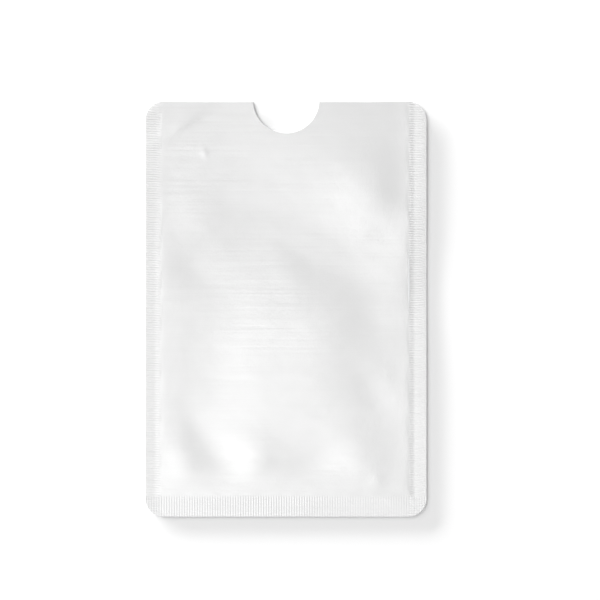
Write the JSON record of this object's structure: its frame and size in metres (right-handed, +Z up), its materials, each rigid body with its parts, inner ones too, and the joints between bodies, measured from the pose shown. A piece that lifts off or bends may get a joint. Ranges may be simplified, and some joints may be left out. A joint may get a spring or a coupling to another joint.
{
  "type": "rfid card sleeve",
  "caption": "Flat foil-lined sleeve that shields one contactless card, heat-sealed on the long sides and the bottom, with an open mouth and a thumb notch.",
  "frame": {"origin": "on the surface that the sleeve lies on, under the middle of its outline", "axes": "+X to the right and +Y towards the open mouth, seen from the front wall; +Z up, out of the front wall"},
  "size_m": [0.062, 0.0914, 0.0013],
  "materials": {
    "printed_film": "pearl-white satin with fine brushed lines",
    "shield_foil": "bright rolled foil",
    "sealing_liner": "clear satin over the foil",
    "weld": "melted and ribbed"
  },
  "bodies": {
    "root": {"front_film": "printed_film", "front_foil": "shield_foil", "front_liner": "sealing_liner", "left_weld": "weld", "right_weld": "weld", "bottom_weld": "weld", "back_liner": "sealing_liner", "back_foil": "shield_foil", "back_film": "printed_film"}
  },
  "joints": []
}
